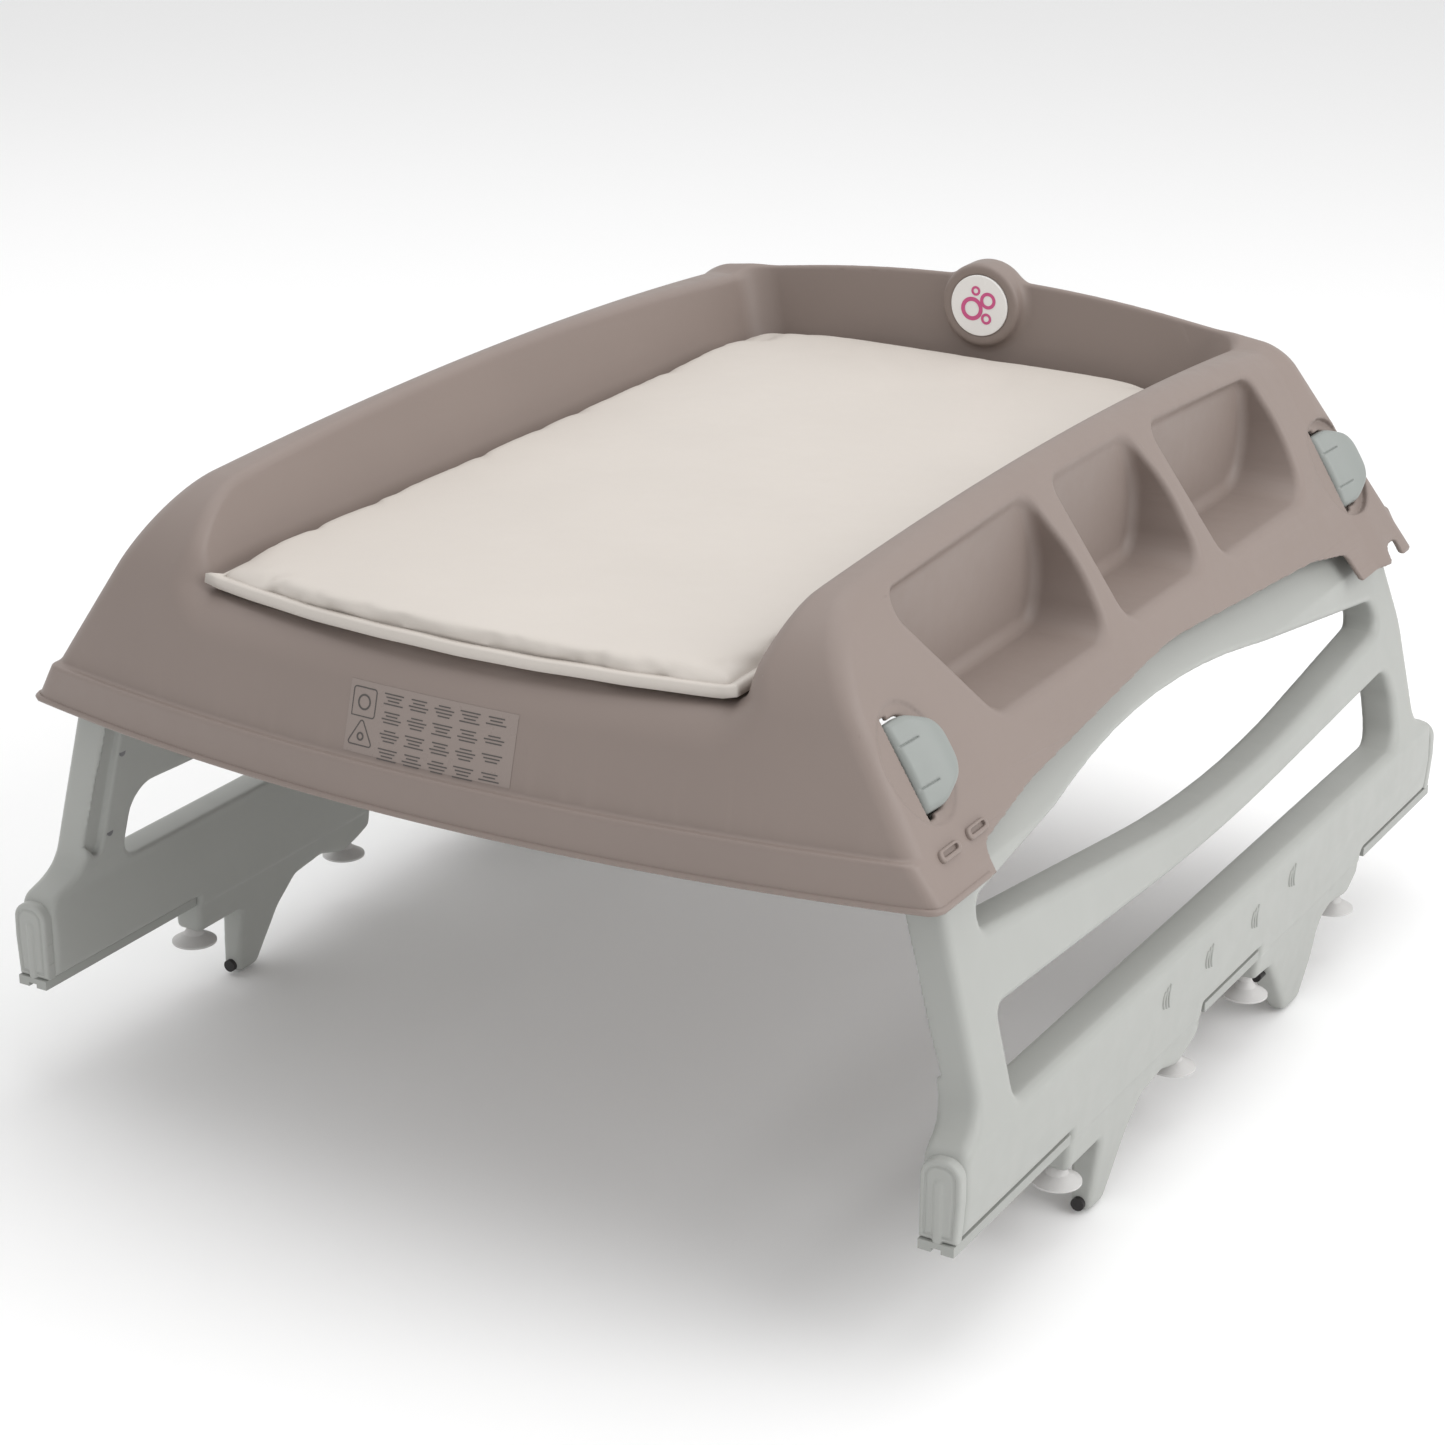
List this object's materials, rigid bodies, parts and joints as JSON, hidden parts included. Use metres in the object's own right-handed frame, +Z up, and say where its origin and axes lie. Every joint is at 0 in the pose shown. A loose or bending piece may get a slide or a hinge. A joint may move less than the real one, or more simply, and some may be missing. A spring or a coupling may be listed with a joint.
{
  "type": "bath-top changing table",
  "caption": "Changing table with a moulded tray, padded mat, side storage pockets and two folding ladder legs with sliding ends that stand over a bath.",
  "frame": {"origin": "middle of the overall box, on the plane of the four claw tips", "axes": "+X across the tray to the right as seen from the open front, +Y from the open front to the back wall, +Z up"},
  "size_m": [0.758, 0.894, 0.496],
  "materials": {
    "taupe_plastic": "satin moulded",
    "leg_plastic": "satin moulded",
    "rail_plastic": "satin",
    "latch_plastic": "satin",
    "mat_vinyl": "coated cloth",
    "foam": "open foam",
    "badge_white": "gloss",
    "label_film": "printed film",
    "foot_rubber": "soft",
    "black_rubber": "matt",
    "steel": "zinc plated"
  },
  "bodies": {
    "tray": {"tray_shell": "taupe_plastic", "badge_disc": "badge_white", "care_label": "label_film", "hinge_pins": "steel", "bracket_screws": "steel", "left_front_bracket": "leg_plastic", "left_rear_bracket": "leg_plastic", "right_front_bracket": "leg_plastic", "right_rear_bracket": "leg_plastic"},
    "mat": {"mat_base_sheet": "mat_vinyl", "mat_cover_top": "mat_vinyl", "mat_foam_core": "foam"},
    "left_leg": {"left_leg_outer_shell": "leg_plastic", "left_leg_inner_shell": "leg_plastic", "left_leg_screws": "steel", "left_leg_feet": "foot_rubber", "left_claw_pads": "black_rubber", "left_middle_rail": "rail_plastic"},
    "left_front_slide": {"left_front_end_slide": "leg_plastic", "left_front_rail": "rail_plastic"},
    "left_front_latch": {"left_front_latch_button": "latch_plastic", "left_front_latch_spring": "steel"},
    "left_rear_slide": {"left_rear_end_slide": "leg_plastic", "left_rear_rail": "rail_plastic"},
    "left_rear_latch": {"left_rear_latch_button": "latch_plastic", "left_rear_latch_spring": "steel"},
    "right_leg": {"right_leg_outer_shell": "leg_plastic", "right_leg_inner_shell": "leg_plastic", "right_leg_screws": "steel", "right_leg_feet": "foot_rubber", "right_claw_pads": "black_rubber", "right_middle_rail": "rail_plastic"},
    "right_front_slide": {"right_front_end_slide": "leg_plastic", "right_front_rail": "rail_plastic"},
    "right_front_latch": {"right_front_latch_button": "latch_plastic", "right_front_latch_spring": "steel"},
    "right_rear_slide": {"right_rear_end_slide": "leg_plastic", "right_rear_rail": "rail_plastic"},
    "right_rear_latch": {"right_rear_latch_button": "latch_plastic", "right_rear_latch_spring": "steel"}
  },
  "joints": [
    {"name": "mat_lift", "type": "slide", "parent": "tray", "child": "mat", "axis": [0, 0, 1], "range_m": [0, 0.2]},
    {"name": "left_leg_fold", "type": "hinge", "parent": "tray", "child": "left_leg", "pos_m": [-0.276, 0, 0.357], "axis": [0, -1, 0], "range_deg": [0, 78]},
    {"name": "left_front_extend", "type": "slide", "parent": "left_leg", "child": "left_front_slide", "axis": [0, -1, 0], "range_m": [0, 0.06]},
    {"name": "left_front_latch_press", "type": "slide", "parent": "tray", "child": "left_front_latch", "axis": [0.849, 0, -0.5284], "range_m": [0, 0.006], "stiffness_N_per_m": 400, "springref_m": -0.006},
    {"name": "left_rear_extend", "type": "slide", "parent": "left_leg", "child": "left_rear_slide", "axis": [0, 1, 0], "range_m": [0, 0.06]},
    {"name": "left_rear_latch_press", "type": "slide", "parent": "tray", "child": "left_rear_latch", "axis": [0.849, 0, -0.5284], "range_m": [0, 0.006], "stiffness_N_per_m": 400, "springref_m": -0.006},
    {"name": "right_leg_fold", "type": "hinge", "parent": "tray", "child": "right_leg", "pos_m": [0.276, 0, 0.357], "axis": [0, 1, 0], "range_deg": [0, 90]},
    {"name": "right_front_extend", "type": "slide", "parent": "right_leg", "child": "right_front_slide", "axis": [0, -1, 0], "range_m": [0, 0.06]},
    {"name": "right_front_latch_press", "type": "slide", "parent": "tray", "child": "right_front_latch", "axis": [-0.849, 0, -0.5284], "range_m": [0, 0.006], "stiffness_N_per_m": 400, "springref_m": -0.006},
    {"name": "right_rear_extend", "type": "slide", "parent": "right_leg", "child": "right_rear_slide", "axis": [0, 1, 0], "range_m": [0, 0.06]},
    {"name": "right_rear_latch_press", "type": "slide", "parent": "tray", "child": "right_rear_latch", "axis": [-0.849, 0, -0.5284], "range_m": [0, 0.006], "stiffness_N_per_m": 400, "springref_m": -0.006}
  ]
}
